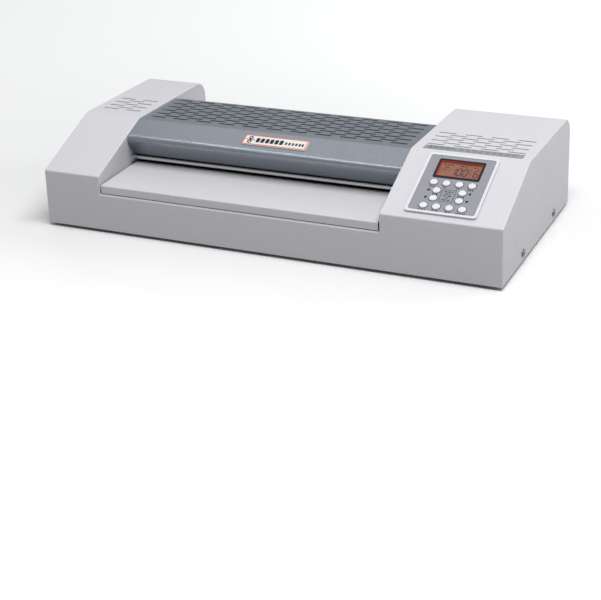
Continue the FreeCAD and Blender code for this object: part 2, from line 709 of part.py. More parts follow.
bushes = []
for i, (place, (y, z)) in enumerate(ROLLERS.items()):
    core = cut(f"Core_{place}", fuse(f"CoreSolid_{place}", [
        rod(f"CoreBarrel_{place}", "x", "core_radius", (CORE_LEFT, y, z), f"({CORE_RIGHT})-({CORE_LEFT})"),
        rod(
            f"CoreJournals_{place}", "x", "journal_radius", ("gear_left-1.5", y, z),
            "frame_right+7-gear_left+1.5"
        ),
    ]), [
        rod(f"CoreBore_{place}", "x", "core_bore_radius", ("gear_left-5", y, z), "frame_right+20-gear_left")
    ])
    node(f"roller_core_{place}", core)
    sleeve = cut(f"Sleeve_{place}",
                 rod(f"SleeveSkin_{place}", "x", "sleeve_radius", ("-199", y, z), "336"),
                 [rod(f"SleeveBore_{place}", "x", "core_radius", ("-210", y, z), "360")])
    node(f"roller_sleeve_{place}", sleeve)
    for side, x in (
        ("L", "frame_left-frame_sheet/2-bush_width/2"), ("R", "frame_right+frame_sheet/2-bush_width/2")
    ):
        block = box(f"BushBlock{side}{i}", (x, f"({x})+bush_width"), (f"{y}-bush_size/2", f"{y}+bush_size/2"),
                    (f"{z}-bush_size/2", f"{z}+bush_size/2"))
        bore = rod(
            f"BushBore{side}{i}", "x", "journal_radius+running_gap", (f"({x})-1", y, z), "bush_width+2"
        )
        bushes.append(cut(f"Bush{side}{i}", block, [bore]))
node("roller_bushes", together("RollerBushes", bushes))

SPRING_LENGTH = "11"
for side, x in (("left", "frame_left-frame_sheet/2"), ("right", "frame_right+frame_sheet/2")):
    springs = []
    for i, y in enumerate(PAIRS):
        coil = doc.addObject("Part::Helix", f"SpringPath{side}{i}")
        drive(coil, Radius="spring_radius", Pitch="2.2", Height=f"{SPRING_LENGTH}-2*spring_wire")
        wire = doc.addObject("Part::Circle", f"SpringWire{side}{i}")
        drive(wire, Radius="spring_wire")
        wire.Placement = FreeCAD.Placement(V(of_sheet("spring_radius"), 0, 0), Turn(V(1, 0, 0), 90))
        wound = doc.addObject("Part::Sweep", f"Spring{side}{i}")
        wound.Sections = [wire]
        wound.Spine = (coil, ["Edge1"])
        wound.Solid = True
        wound.Frenet = True
        put(wound, x, y, "upper_z+bush_size/2+spring_wire")
        springs.append(wound)
    node(f"pressure_springs_{side}", together(f"PressureSprings_{side}", springs))

lamps = [
    rod(f"Lamp{i}", "x", "lamp_radius", ("gear_left-10", "front_pair_y", z), "frame_right+14-gear_left+10")
    for i, z in enumerate(("lower_z", "upper_z"))
]
node("heater_lamps", together("HeaterLamps", lamps))

holders = []
for side, x, way in (("Left", "gear_left-9", -1), ("Right", "frame_right+10", 1)):
    plate = (x, f"({x})+1.5")
    foot = sorted((f"({x})+0.75", f"({x})+0.75+{way}*6"), key=of_sheet)
    solid = fuse(f"HolderSolid{side}", [
        box(
            f"HolderPlate{side}", plate, ("front_pair_y-8", "front_pair_y+8"),
            ("foot_height+sheet", "upper_z+9")
        ),
        box(
            f"HolderFoot{side}", foot, ("front_pair_y-8", "front_pair_y+8"),
            ("foot_height+sheet", "foot_height+sheet+1.5")
        ),
    ])
    holes = [rod(f"HolderHole{side}{i}", "x", "lamp_radius", (f"({x})-2", "front_pair_y", z), "6")
             for i, z in enumerate(("lower_z", "upper_z"))]
    holders.append(cut(f"LampHolder{side}", solid, holes))
node("lamp_holders", together("LampHolders", holders))

upper_x = ("frame_left+2.5", "frame_right-2.5")
lower_x = ("frame_left", "frame_right")
upper_shield = fuse("UpperShield", [
    box("UpperShieldTop", upper_x, ("window_front+1", "54"), ("92", "92.8")),
    box("UpperShieldRear", upper_x, ("53.2", "54"), ("80", "92.8")),
])
lower_shield = fuse("LowerShield", [
    box("LowerShieldFloor", lower_x, ("-45", "54"), ("27", "27.8")),
    box("LowerShieldRear", lower_x, ("53.2", "54"), ("27", "40")),
])
node("heat_shields", together("HeatShields", [upper_shield, lower_shield]))

guide_x = ("frame_left", "frame_right")
guide_y = ("front_pair_y+17", "rear_pair_y-17")
node("pouch_guides", together("PouchGuides", [
    box("GuideLower", guide_x, guide_y, ("58.2", "59.2")),
    box("GuideUpper", guide_x, guide_y, ("62.8", "63.8")),
]))


# ------------------------------------------------------------------ gear train

def gear_blank(teeth):
    """A spur gear of 20 degree pressure angle as one face in YZ, tooth 0 centred on +Y."""
    module = of_sheet("gear_module")
    relief = of_sheet("flank_relief")
    pitch_radius = module * teeth / 2
    pressure = math.radians(20)
    base = pitch_radius * math.cos(pressure)
    tip = pitch_radius + module
    root = pitch_radius - 1.25 * module
    start = max(base, root)
    half = (math.pi * module / 2 - relief) / (2 * pitch_radius)

    def flank(r):
        """Half the angle a tooth spans at radius r."""
        roll = math.acos(min(1.0, base / r))
        return half + (math.tan(pressure) - pressure) - (math.tan(roll) - roll)

    def at(r, a):
        return V(0, r * math.cos(a), r * math.sin(a))

    radii = [start, (start + tip) / 2, tip]
    spans = [flank(r) for r in radii]
    pitch = 2 * math.pi / teeth
    edges = []
    for tooth in range(teeth):
        c = tooth * pitch
        if root < start:
            edges.append(Part.LineSegment(at(root, c - spans[0]), at(start, c - spans[0])).toShape())
        edges.append(Part.Arc(*[at(r, c - s) for r, s in zip(radii, spans)]).toShape())
        edges.append(Part.Arc(at(tip, c - spans[2]), at(tip, c), at(tip, c + spans[2])).toShape())
        edges.append(Part.Arc(*[at(r, c + s) for r, s in zip(radii[::-1], spans[::-1])]).toShape())
        if root < start:
            edges.append(Part.LineSegment(at(start, c + spans[0]), at(root, c + spans[0])).toShape())
        valley = [at(root, c + turn) for turn in (spans[0], pitch / 2, pitch - spans[0])]
        edges.append(Part.Arc(*valley).toShape())
    return Part.Face(Part.Wire(edges))


def gear(name, teeth, bore, y, z, phase):
    """A gear turned to its meshing phase, radians, and placed on its axis."""
    wheel = doc.addObject("Part::Feature", name)
    width = of_sheet("gear_width")
    solid = gear_blank(int(of_sheet(teeth))).extrude(V(width, 0, 0))
    hole = Part.makeCylinder(of_sheet(bore), width + 2, V(-1, 0, 0), V(1, 0, 0))
    wheel.Shape = solid.cut(hole)
    wheel.Placement = FreeCAD.Placement(V(), Turn(V(1, 0, 0), math.degrees(phase)))
    return put(wheel, "gear_left", y, z)


def in_mesh(phase, teeth, next_teeth, towards):
    """The phase of the next gear, lying in a direction, that meshes with one of known phase."""
    pitch = 2 * math.pi / of_sheet(teeth)
    next_pitch = 2 * math.pi / of_sheet(next_teeth)
    return towards + math.pi - next_pitch * ((phase - towards) / pitch + 0.5)


UPWARDS = math.pi / 2
idler_phase = in_mesh(0.0, "roller_teeth", "idler_teeth", 0.0)
rear_phase = in_mesh(idler_phase, "idler_teeth", "roller_teeth", 0.0)
PHASES = {
    "front_lower": 0.0,
    "front_upper": in_mesh(0.0, "roller_teeth", "roller_teeth", UPWARDS),
    "rear_lower": rear_phase,
    "rear_upper": in_mesh(rear_phase, "roller_teeth", "roller_teeth", UPWARDS),
}
for place, (y, z) in ROLLERS.items():
    node(f"roller_gear_{place}", gear(f"Gear_{place}", "roller_teeth", "journal_radius", y, z, PHASES[place]))

node("idler_gear", gear("IdlerGear", "idler_teeth", "4+running_gap", "idler_y", "lower_z", idler_phase))
node("idler_stud", fuse("IdlerStud", [
    rod(
        "IdlerPin", "x", "4", ("gear_left-0.6", "idler_y", "lower_z"),
        "frame_left-frame_sheet-gear_left+0.6"
    ),
    rod("IdlerCollar", "x", "5.5", ("gear_left+gear_width+0.5", "idler_y", "lower_z"),
        "frame_left-frame_sheet-gear_left-gear_width-0.5"),
    rod("IdlerClip", "x", "5.2", ("gear_left-1.4", "idler_y", "lower_z"), "0.9"),
]))

PINION_REACH = "gear_module*(roller_teeth+pinion_teeth)/2"
PINION_Y = f"rear_pair_y+{PINION_REACH}*cos(pinion_angle)"
PINION_Z = f"lower_z+{PINION_REACH}*sin(pinion_angle)"
pinion_phase = in_mesh(rear_phase, "roller_teeth", "pinion_teeth", math.radians(of_sheet("pinion_angle")))
pinion = doc.addObject("Part::MultiFuse", "MotorPinion")
pinion.Shapes = [
    gear("PinionTeeth", "pinion_teeth", "2", PINION_Y, PINION_Z, pinion_phase),
    rod("PinionShaft", "x", "3", ("gear_left-8", PINION_Y, PINION_Z), "gear_width+8.5"),
]
node("motor_pinion", pinion)

motor = cut("Motor", fuse("MotorSolid", [
    rod("MotorCan", "x", "25", ("-263", PINION_Y, PINION_Z), "40"),
    rod("MotorBoss", "x", "8", ("-223", PINION_Y, PINION_Z), "2"),
    box(
        "MotorTerminals", ("-258", "-246"), (f"{PINION_Y}-8", f"{PINION_Y}+8"),
        (f"{PINION_Z}+20", f"{PINION_Z}+31")
    ),
]), [rod("MotorShaftHole", "x", "3.04", ("-226", PINION_Y, PINION_Z), "8")])
node("drive_motor", motor)

bracket = cut("MotorBracket", fuse("BracketSolid", [
    box(
        "BracketPlate", ("-223", "-221"), (f"{PINION_Y}-28", f"{PINION_Y}+28"),
        ("foot_height+sheet", f"{PINION_Z}+28")
    ),
    box(
        "BracketFoot", ("-246", "-221"), (f"{PINION_Y}-28", f"{PINION_Y}+28"),
        ("foot_height+sheet", "foot_height+sheet+2")
    ),
]), [rod("BracketHole", "x", "8", ("-226", PINION_Y, PINION_Z), "10")])
node("motor_bracket", bracket)


# ------------------------------------------------------------------ control panel

PANEL_V = "bezel_low"
panel_x = ("panel_x-bezel_width/2", "panel_x+bezel_width/2")
BUTTONS = [
    ("button_1", "182.1", "54.8"), ("button_2", "196.1", "54.8"),
    ("button_3", "210.1", "54.8"), ("button_4", "224.1", "54.8"),
    ("button_5", "188.9", "42.65"), ("button_6", "217.1", "42.65"),
    ("button_7", "188.9", "30.65"), ("button_8", "217.1", "30.65"),
    ("button_9", "182.1", "18.6"), ("button_10", "196.1", "18.6"),
    ("button_11", "210.1", "18.6"), ("button_12", "224.1", "18.6"),
]


def upright_corner(edge):
    """True for an edge square to the panel."""
    reach = edge.BoundBox
    return reach.XLength < 1e-6 and reach.YLength < 1e-6 and reach.ZLength > 0.1


bezel_block = box("BezelPlate", panel_x, ("bezel_low", "bezel_high"), ("0", "bezel_rise"))
bezel_plate = rounded("BezelRounded", bezel_block, "3.5", upright_corner)
bezel_skirt = box(
    "BezelSkirt", (f"({panel_x[0]})+4.3", f"({panel_x[1]})-4.3"),
    ("bezel_low+panel_inset+0.2", "bezel_high-panel_inset-0.2"), ("-4", "0")
)
posts = []
for i, (x, v) in enumerate((("-30.6", "17.6"), ("30.6", "17.6"), ("-30.6", "91"), ("30.6", "91"))):
    posts.append(rod(f"BezelPost{i}", "z", "2.4", (f"panel_x+{x}", v, "-10.4"), "10.4"))
recess_block = box(
    "BezelRecessBlock", ("panel_x-fascia_width/2-0.15", "panel_x+fascia_width/2+0.15"),
    ("fascia_low-0.15", "fascia_high+0.15"), ("bezel_floor", "bezel_rise+1")
)
bezel_cuts = [
    rounded("BezelRecess", recess_block, "3", upright_corner),
    box("BezelWindow", ("window_x-window_width/2-0.2", "window_x+window_width/2+0.2"),
        ("window_low-0.2", "window_high+0.2"), ("-1", "bezel_rise+1")),
]
for name, x, v in BUTTONS:
    bezel_cuts.append(rod(f"BezelHole_{name}", "z", "button_radius+button_gap", (x, v, "-1"), "6"))
skirt_room = box(
    "SkirtRoom", (f"({panel_x[0]})+5.6", f"({panel_x[1]})-5.6"),
    ("bezel_low+panel_inset+1.5", "bezel_high-panel_inset-1.5"), ("-5", "0")
)
skirt = cut("BezelSkirtWall", bezel_skirt, [skirt_room])
bezel = cut("PanelBezel", fuse("BezelSolid", [bezel_plate, skirt] + posts), bezel_cuts)
node("panel_bezel", on_slope(bezel))

fascia_block = box(
    "FasciaPlate", ("panel_x-fascia_width/2", "panel_x+fascia_width/2"),
    ("fascia_low", "fascia_high"), ("bezel_floor", "bezel_floor+fascia_sheet")
)
fascia_plate = rounded("FasciaRounded", fascia_block, "2.9", upright_corner)
fascia_cuts = [box("FasciaWindow", ("window_x-window_width/2-0.2", "window_x+window_width/2+0.2"),
                   ("window_low-0.2", "window_high+0.2"), ("0", "5"))]
for name, x, v in BUTTONS:
    fascia_cuts.append(rod(f"FasciaHole_{name}", "z", "button_radius+button_gap", (x, v, "0"), "5"))
node("panel_fascia", on_slope(cut("PanelFascia", fascia_plate, fascia_cuts)))

display = fuse("DisplayModule", [
    box(
        "DisplayGlass", ("window_x-window_width/2", "window_x+window_width/2"),
        ("window_low", "window_high"), ("-0.1", "1.8")
    ),
    box(
        "DisplayCan", ("window_x-window_width/2-3", "window_x+window_width/2+3"),
        ("window_low-2.6", "window_high+1.8"), ("-5", "-0.1")
    ),
])
node("lcd_module", on_slope(display))

board = [
    box("PanelBoard", ("panel_x-33", "panel_x+33"), ("15.2", "93.4"), ("-12", "-10.4")),
    box("PanelPlug", ("panel_x-12", "panel_x+12"), ("72", "78"), ("-20", "-12")),
    box("PanelChip", ("panel_x-7", "panel_x+7"), ("32", "46"), ("-14", "-12")),
    box("PanelDisplaySeat", ("window_x-18", "window_x+18"), ("70", "86"), ("-10.4", "-5")),
]
for name, x, v in BUTTONS:
    board.append(box(f"PanelSwitch_{name}", (f"{x}-3", f"{x}+3"), (f"{v}-3", f"{v}+3"), ("-10.4", "-6.8")))
node("control_board", on_slope(fuse("ControlBoard", board)))

for name, x, v in BUTTONS:
    body = doc.addObject("PartDesign::Body", "Body_" + name)
    half = body.newObject("Sketcher::SketchObject", "Half_" + name)
    half.AttachmentSupport = [(of_origin(body, "XZ_Plane"), "")]
    half.MapMode = "FlatFace"
    outline = [
        ("0", "-5.6"), ("1.7", "-5.6"), ("1.7", "-1.6"),
        ("button_radius+1", "-1.6"), ("button_radius+1", "-0.35"), ("button_radius", "-0.35"),
        ("button_radius", "button_top-0.7"), ("button_radius-0.5", "button_top-0.15"),
        ("button_radius-1.3", "button_top"), ("0", "button_top"),
    ]
    corners = [V(of_sheet(a), of_sheet(b), 0) for a, b in outline]
    count = len(corners)
    half.addGeometry([Part.LineSegment(corners[i], corners[(i + 1) % count]) for i in range(count)], False)
    half.addConstraint([Sketcher.Constraint("Coincident", i, 2, (i + 1) % count, 1) for i in range(count)])
    for i, (a, b) in enumerate(outline):
        for kind, formula in (("DistanceX", a), ("DistanceY", b)):
            number = half.addConstraint(Sketcher.Constraint(kind, i, 1, of_sheet(formula)))
            half.setExpression(f"Constraints[{number}]", on_sheet(formula))
    spun = body.newObject("PartDesign::Revolution", "Spun_" + name)
    spun.Profile = half
    spun.ReferenceAxis = (of_origin(body, "Z_Axis"), [""])
    spun.Angle = 360
    on_slope(body, v=v, x=x)
    node(name, body)


# ------------------------------------------------------------------ label strip and badge

strip = box("GuideLabel", ("151.4", "262.9"), ("-31.6", "-19.2"), ("case_height", "case_height+0.3"))
node("guide_label", strip)

badge = rounded(
    "NameBadge", box("BadgeBlock", ("-39.5", "39.5"), ("-8.6", "8.6"), ("0", "1.2")), "1.6", upright_corner
)
badge.Placement = FreeCAD.Placement(V(), Turn(V(1, 0, 0), 1))
drive(badge, Placement__Rotation__Angle=COVER_SLOPE)
BADGE_Y = "-47.6"
put(badge, "-17.8", BADGE_Y, f"nose_z+({BADGE_Y}-nose_y)*tan({COVER_SLOPE})")
node("name_badge", badge)


# ------------------------------------------------------------------ power inlet, switch, main board

flush = "case_half_depth-0.1"
inlet = cut("PowerInlet", fuse("InletSolid", [
    box(
        "InletNose", ("inlet_x-13.4", "inlet_x+13.4"), ("case_half_depth-8", flush),
        ("inlet_z-15.4", "inlet_z+15.4")
    ),
    box(
        "InletFlange", ("inlet_x-24", "inlet_x+24"),
        ("case_half_depth-sheet-2", "case_half_depth-sheet"), ("inlet_z-15.4", "inlet_z+15.4")
    ),
    box(
        "InletBack", ("inlet_x-13.4", "inlet_x+13.4"), ("case_half_depth-30", "case_half_depth-3"),
        ("inlet_z-14", "inlet_z+14")
    ),
    box(
        "InletTabs", ("inlet_x-7", "inlet_x+7"), ("case_half_depth-38", "case_half_depth-30"),
        ("inlet_z-3", "inlet_z+3")
    ),
]), [
    box(
        "InletWell", ("inlet_x-12", "inlet_x+12"), ("case_half_depth-17", "case_half_depth+1"),
        ("inlet_z-3.4", "inlet_z+12.6")
    ),
    box(
        "InletFuseGap", ("inlet_x-11", "inlet_x+11"), ("case_half_depth-1", "case_half_depth+1"),
        ("inlet_z-13.2", "inlet_z-5.6")
    ),
])
PIN_SPOTS = ((-7, -1.6), (0, 2.4), (7, -1.6))
pins = [
    box(
        f"InletPin{i}", (f"inlet_x{dx:+}-1", f"inlet_x{dx:+}+1"),
        ("case_half_depth-18", "case_half_depth-2.6"), (f"inlet_z+4.4{dz:+}-2", f"inlet_z+4.4{dz:+}+2")
    )
    for i, (dx, dz) in enumerate(PIN_SPOTS)
]
node("power_inlet", fuse("InletWithPins", [inlet] + pins))

SWITCH_PIVOT = "case_half_depth-8.5"
housing = cut("SwitchHousing", fuse("HousingSolid", [
    box(
        "HousingNose", ("switch_x-7.9", "switch_x+7.9"), ("case_half_depth-20", flush),
        ("inlet_z-11.9", "inlet_z+11.9")
    ),
    box(
        "HousingFlange", ("switch_x-11", "switch_x+11"),
        ("case_half_depth-sheet-2", "case_half_depth-sheet"), ("inlet_z-14", "inlet_z+14")
    ),
    box(
        "HousingTabs", ("switch_x-4", "switch_x+4"), ("case_half_depth-28", "case_half_depth-20"),
        ("inlet_z-7", "inlet_z+7")
    ),
]), [
    box(
        "HousingWell", ("switch_x-6.6", "switch_x+6.6"), ("case_half_depth-16", "case_half_depth+1"),
        ("inlet_z-10.9", "inlet_z+10.9")
    ),
])
node("switch_housing", housing)

ROCKER_TILT = "8"
rocker = doc.addObject("PartDesign::Body", "PowerRocker")
rocker_outline = polygon_sketch(rocker, "RockerOutline", "YZ_Plane", [
    ("-3.5", "-3"), ("2", "-9.4"), ("6.8", "-9.4"), ("5.9", "0"), ("6.8", "9.4"), ("2", "9.4"), ("-3.5", "3"),
], "-6.2")
rocker_pad = rocker.newObject("PartDesign::Pad", "RockerPad")
rocker_pad.Profile = rocker_outline
drive(rocker_pad, Length="12.4")
rocker.Placement = FreeCAD.Placement(V(), Turn(V(1, 0, 0), -1))
drive(rocker, Placement__Rotation__Angle=ROCKER_TILT)
put(rocker, "switch_x", SWITCH_PIVOT, "inlet_z")
node("power_rocker", rocker)

BOARD_Z = "foot_height+sheet+8"
power = [box("PowerBoard", ("160", "255"), ("-30", "70"), (BOARD_Z, f"{BOARD_Z}+1.6"))]
for i, (x, y) in enumerate((("165", "-25"), ("250", "-25"), ("165", "65"), ("250", "65"))):
    power.append(rod(f"PowerPost{i}", "z", "3", (x, y, "foot_height+sheet"), "8"))
PARTS_ON_BOARD = [
    ("Relay1", "170", "190", "-22", "-8", 16), ("Relay2", "194", "214", "-22", "-8", 16),
    ("Triac", "172", "182", "28", "32", 18), ("Sink", "168", "192", "36", "39", 22),
    ("Plug1", "236", "250", "-8", "4", 11), ("Plug2", "236", "250", "10", "22", 11),
]
for name, x0, x1, y0, y1, tall in PARTS_ON_BOARD:
    power.append(box(f"Board{name}", (x0, x1), (y0, y1), (f"{BOARD_Z}+1.6", f"{BOARD_Z}+1.6+{tall}")))
for i, (x, y, r, tall) in enumerate(
    (("226", "-14", "5", 18), ("224", "44", "4", 13), ("238", "44", "4", 13))
):
    power.append(rod(f"BoardCapacitor{i}", "z", r, (x, y, f"{BOARD_Z}+1.6"), str(tall)))
node("main_board", fuse("MainBoard", power))

transformer = fuse("Transformer", [
    box("TransformerCore", ("190", "228"), ("0", "28"), (f"{BOARD_Z}+1.6", f"{BOARD_Z}+33")),
    box("TransformerCoil", ("196", "222"), ("-4", "32"), (f"{BOARD_Z}+6", f"{BOARD_Z}+29")),
])
node("transformer", transformer)


# ------------------------------------------------------------------ check and export

doc.recompute()
wrong = []
for thing in doc.Objects:
    if "Invalid" in thing.State or "Error" in thing.State:
        wrong.append(f"{thing.Name}: {thing.State}")
for name, thing in NODES.items():
    if thing.Shape.isNull() or not thing.Shape.isValid() or not thing.Shape.Solids:
        wrong.append(f"{name}: no valid solid")
if wrong:
    raise RuntimeError("; ".join(wrong))

os.makedirs("parts", exist_ok=True)
whole = None
for name, thing in NODES.items():
    thing.Shape.exportStep(f"parts/{name}.step")
    limits = thing.Shape.BoundBox
    whole = limits if whole is None else whole.united(limits)
print(f"{len(NODES)} parts, whole {whole}")
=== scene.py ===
"""Looks for the desktop pouch laminator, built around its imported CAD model.

It gives every CAD part a finish, adds the printed and moulded detail of the panel, the display,
the badge and the label, and sets the floor, the light and the camera.
"""

import json
import math

import bmesh
import bpy
from mathutils import Matrix, Vector


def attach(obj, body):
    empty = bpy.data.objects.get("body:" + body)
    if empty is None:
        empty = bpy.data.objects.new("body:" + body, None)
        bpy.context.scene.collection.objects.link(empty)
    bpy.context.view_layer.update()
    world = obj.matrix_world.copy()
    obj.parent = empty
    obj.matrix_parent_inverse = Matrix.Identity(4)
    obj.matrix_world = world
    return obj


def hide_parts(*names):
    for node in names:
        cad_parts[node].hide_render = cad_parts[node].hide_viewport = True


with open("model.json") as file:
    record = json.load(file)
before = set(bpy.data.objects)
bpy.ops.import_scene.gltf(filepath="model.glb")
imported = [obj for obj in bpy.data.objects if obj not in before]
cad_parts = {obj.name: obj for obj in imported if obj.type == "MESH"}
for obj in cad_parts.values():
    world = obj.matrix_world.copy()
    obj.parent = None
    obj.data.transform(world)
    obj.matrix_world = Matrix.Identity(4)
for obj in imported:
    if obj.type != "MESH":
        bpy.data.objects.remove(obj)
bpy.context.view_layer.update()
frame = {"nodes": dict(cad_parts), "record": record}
MM = 0.001

# places on the CAD model that the pieces here sit on, in millimetres
FRONT_Y = -132.5        # the case's slope runs from the top of its front face
FRONT_TOP = 68.0
FOLD_Y = -34.5          # to the fold where its level top begins
CASE_TOP = 109.0
NOSE_Y = -68.5          # the top cover's slope runs from its nose
NOSE_Z = 93.5
LID_FOLD_Y = -32.4      # to the fold where its level top begins
LID_TOP = 107.0
FASCIA_TOP = 2.0        # the fascia's face, above the case's slope
PANEL_SLOPE = math.atan2(CASE_TOP - FRONT_TOP, FOLD_Y - FRONT_Y)
LID_SLOPE = math.atan2(LID_TOP - NOSE_Z, LID_FOLD_Y - NOSE_Y)

# (across, up the slope) of each key's centre on the panel
BUTTONS = {
    "button_1": (182.1, 54.8),
    "button_2": (196.1, 54.8),
    "button_3": (210.1, 54.8),
    "button_4": (224.1, 54.8),
    "button_5": (188.9, 42.65),
    "button_6": (217.1, 42.65),
    "button_7": (188.9, 30.65),
    "button_8": (217.1, 30.65),
    "button_9": (182.1, 18.6),
    "button_10": (196.1, 18.6),
    "button_11": (210.1, 18.6),
    "button_12": (224.1, 18.6),
}


# ------------------------------------------------------------------ material tools

# nearly all of a noise node's values lie between these
NOISE_LOW = 0.3
NOISE_HIGH = 0.7


class Finish:
    """A Principled material with helpers for the procedural nodes that drive it."""

    def __init__(self, name, **constants):
        self.material = bpy.data.materials.new(name)
        self.material.use_nodes = True
        self.tree = self.material.node_tree
        self.shader = self.tree.nodes["Principled BSDF"]
        self.normal = None
        for socket, value in constants.items():
            self.shader.inputs[socket.replace("_", " ")].default_value = value
        self.place = self.tree.nodes.new("ShaderNodeTexCoord").outputs["Object"]

    def link(self, out, to):
        self.tree.links.new(out, to)

    def stretched(self, x=1.0, y=1.0, z=1.0):
        """The object coordinates scaled differently along each axis."""
        mapping = self.tree.nodes.new("ShaderNodeMapping")
        mapping.inputs["Scale"].default_value = (x, y, z)
        self.link(self.place, mapping.inputs["Vector"])
        return mapping.outputs["Vector"]

    def noise(self, size, detail=2.0, roughness=0.5, place=None):
        """Noise whose features are about size metres across."""
        node = self.tree.nodes.new("ShaderNodeTexNoise")
        node.inputs["Scale"].default_value = 1.0 / size
        node.inputs["Detail"].default_value = detail
        node.inputs["Roughness"].default_value = roughness
        self.link(place or self.place, node.inputs["Vector"])
        return node.outputs["Fac"]

    def cells(self, size):
        """Distance to the nearest of scattered points about size metres apart."""
        node = self.tree.nodes.new("ShaderNodeTexVoronoi")
        node.inputs["Scale"].default_value = 1.0 / size
        self.link(self.place, node.inputs["Vector"])
        return node.outputs["Distance"]

    def spread(self, source, low, high, start=NOISE_LOW, end=NOISE_HIGH):
        """Maps a value that runs from start to end onto low to high."""
        node = self.tree.nodes.new("ShaderNodeMapRange")
        node.inputs["From Min"].default_value = start
        node.inputs["From Max"].default_value = end
        node.inputs["To Min"].default_value = low
        node.inputs["To Max"].default_value = high
        self.link(source, node.inputs["Value"])
        return node.outputs["Result"]

    def ramp(self, source, stops):
        """A colour ramp through (position, colour) stops."""
        node = self.tree.nodes.new("ShaderNodeValToRGB")
        band = node.color_ramp
        while len(band.elements) < len(stops):
            band.elements.new(0.5)
        for element, (position, colour) in zip(band.elements, stops):
            element.position = position
            element.color = (*colour, 1.0)
        self.link(source, node.inputs["Fac"])
        return node.outputs["Color"]

    def mottle(self, source, colour, dark, light, start=NOISE_LOW, end=NOISE_HIGH):
        """A colour that varies between two brightnesses of itself."""
        return self.ramp(source, [(start, shade(colour, dark)), (end, shade(colour, light))])

    def colour(self, source):
        self.link(source, self.shader.inputs["Base Color"])

    def rough(self, source, low, high, start=NOISE_LOW, end=NOISE_HIGH):
        self.link(self.spread(source, low, high, start, end), self.shader.inputs["Roughness"])

    def bump(self, source, depth, strength):
        """Adds a bump of about depth metres on top of the ones added before."""
        node = self.tree.nodes.new("ShaderNodeBump")
        node.inputs["Strength"].default_value = strength
        node.inputs["Distance"].default_value = depth
        self.link(source, node.inputs["Height"])
        if self.normal is not None:
            self.link(self.normal, node.inputs["Normal"])
        self.normal = node.outputs["Normal"]
        self.link(self.normal, self.shader.inputs["Normal"])


def shade(colour, factor):
    """A colour made lighter or darker."""
    return tuple(min(1.0, c * factor) for c in colour)


def powder_coat(name, colour, roughness, flake=0.0, contrast=0.09, grain=0.0009):
    """Powder coat: speckle in the colour, and orange peel, or a faint swell if it has flake."""
    f = Finish(name, Metallic=flake, Roughness=roughness, Specular_IOR_Level=0.35)
    speckle = f.noise(grain)
    dark = shade(colour, 1 - contrast)
    light = shade(colour, 1 + contrast)
    f.colour(f.ramp(speckle, [(0.30, dark), (0.52, colour), (0.74, light)]))
    f.rough(f.noise(0.05), roughness - 0.03, roughness + 0.04)
    if flake:
        f.bump(f.noise(0.006, detail=1.0), depth=0.00002, strength=0.3)
    else:
        f.bump(f.noise(0.0022), depth=0.00003, strength=0.35)
        f.bump(speckle, depth=0.00002, strength=0.30)
    return f.material


def metal(name, colour, roughness, marks=0.00001, tint=0.04, turned=False):
    """Metal with marks that run along it, or round it if it was turned."""
    f = Finish(name, Metallic=1.0, Roughness=roughness)
    along = f.stretched(y=0.03, z=0.03) if turned else f.stretched(x=0.02)
    streaks = f.noise(0.0006, detail=4.0, roughness=0.7, place=along)
    f.colour(f.mottle(f.noise(0.02, detail=3.0), colour, 1 - tint, 1 + tint))
    f.rough(streaks, roughness * 0.8, roughness * 1.25)
    f.bump(streaks, depth=marks, strength=0.4)
    return f.material


def zinc(name, colour):
    """Zinc plate: faint spangle and cloudy sheen."""
    f = Finish(name, Metallic=0.9, Roughness=0.36)
    f.colour(f.mottle(f.noise(0.008, detail=4.0), colour, 0.88, 1.05))
    f.rough(f.cells(0.006), 0.28, 0.46, start=0.0, end=0.8)
    f.bump(f.noise(0.0015, detail=3.0), depth=0.00001, strength=0.3)
    return f.material


def plastic(name, colour, roughness, grain=0.0006, depth=0.00002, coat=0.0):
    """Moulded plastic with a fine spark-eroded grain."""
    f = Finish(name, Roughness=roughness, Coat_Weight=coat, Coat_Roughness=0.15)
    texture = f.noise(grain, detail=3.0, roughness=0.6)
    f.colour(f.mottle(f.noise(0.015), colour, 0.97, 1.02))
    f.rough(texture, roughness - 0.04, roughness + 0.05)
    f.bump(texture, depth, strength=0.35)
    return f.material


def rubber(name, colour, roughness):
    """Moulded rubber or sintered metal, dull, with a dusty cloud in the colour."""
    f = Finish(name, Roughness=roughness)
    dust = f.noise(0.006, detail=5.0, roughness=0.65)
    f.colour(f.mottle(dust, colour, 1.0, 1.25, end=0.75))
    f.rough(dust, roughness - 0.08, roughness + 0.06)
    f.bump(f.noise(0.0009, detail=3.0), depth=0.00003, strength=0.5)
    return f.material


def printed(name, colour, roughness=0.5):
    """Screen-printed ink with slight unevenness; also used for the painted shade round the keys.
    """
    f = Finish(name, Roughness=roughness, Specular_IOR_Level=0.2)
    f.colour(f.mottle(f.noise(0.0012, detail=3.0), colour, 0.88, 1.12))
    f.rough(f.noise(0.0008), roughness - 0.05, roughness + 0.08)
    return f.material


def circuit_board(name):
    """Green solder mask with faint copper tracks under it."""
    f = Finish(name, Roughness=0.35, Coat_Weight=0.3, Coat_Roughness=0.2)
    grid = f.tree.nodes.new("ShaderNodeTexBrick")
    grid.inputs["Scale"].default_value = 160.0
    grid.inputs["Mortar Size"].default_value = 0.04
    grid.inputs["Color1"].default_value = (0.010, 0.090, 0.035, 1)
    grid.inputs["Color2"].default_value = (0.013, 0.115, 0.045, 1)
    grid.inputs["Mortar"].default_value = (0.030, 0.200, 0.080, 1)
    f.link(f.place, grid.inputs["Vector"])
    f.colour(grid.outputs["Color"])
    f.rough(f.noise(0.004), 0.28, 0.45)
    f.bump(grid.outputs["Fac"], depth=0.00004, strength=0.4)
    return f.material


